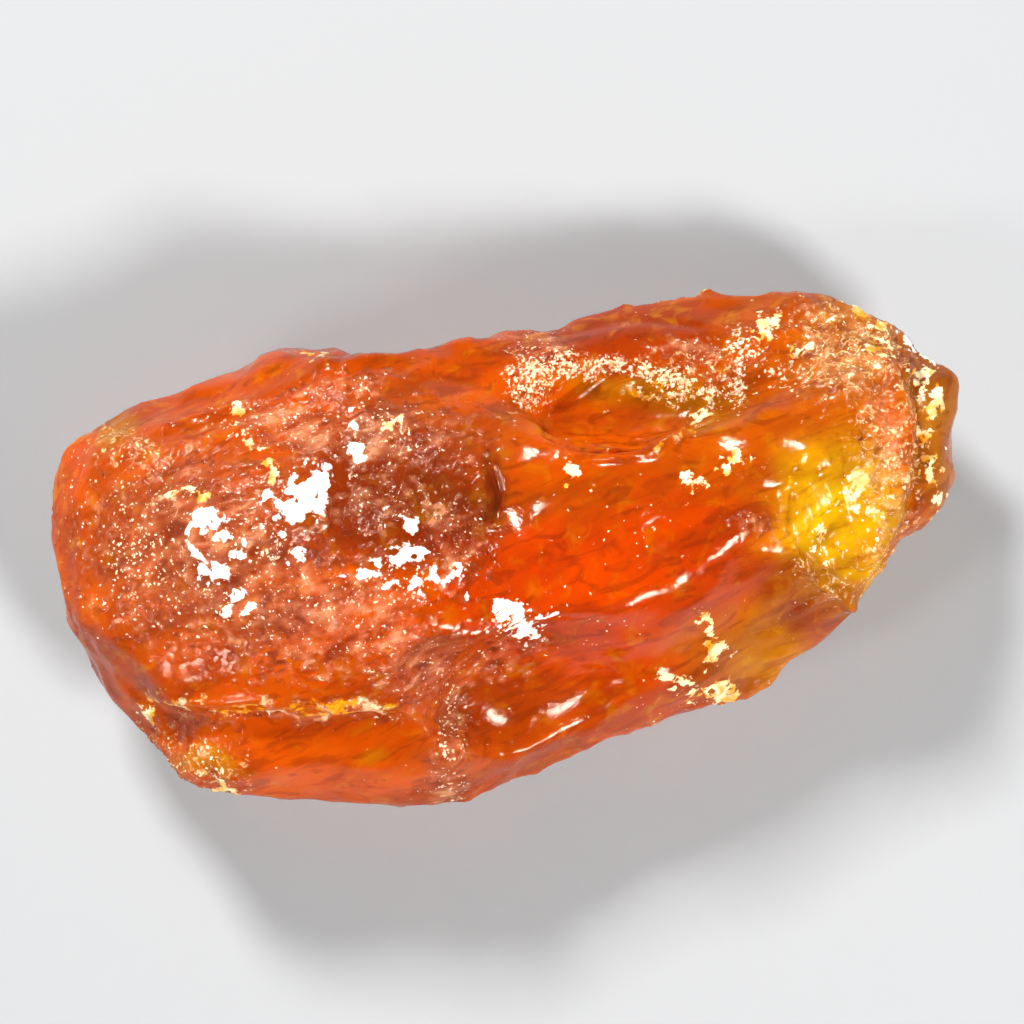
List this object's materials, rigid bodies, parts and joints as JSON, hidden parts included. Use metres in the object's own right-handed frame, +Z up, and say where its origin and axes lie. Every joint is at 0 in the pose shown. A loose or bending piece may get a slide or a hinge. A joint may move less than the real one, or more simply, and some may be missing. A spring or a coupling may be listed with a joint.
{
  "type": "raw amber piece",
  "caption": "Lump of raw translucent amber with a weathered skin, a shell-shaped pocket, a stepped yellow end and a flattened back to rest on.",
  "frame": {"origin": "middle of the lump's box at the level of the flat resting face under its back", "axes": "+X along the lump to its yellow end, +Y to the long edge with the shelf, +Z up out of the broad face"},
  "size_m": [0.0684, 0.0388, 0.0243],
  "materials": {
    "amber": "satin, frosted and crusted in places"
  },
  "bodies": {
    "root": {"amber": "amber"}
  },
  "joints": []
}
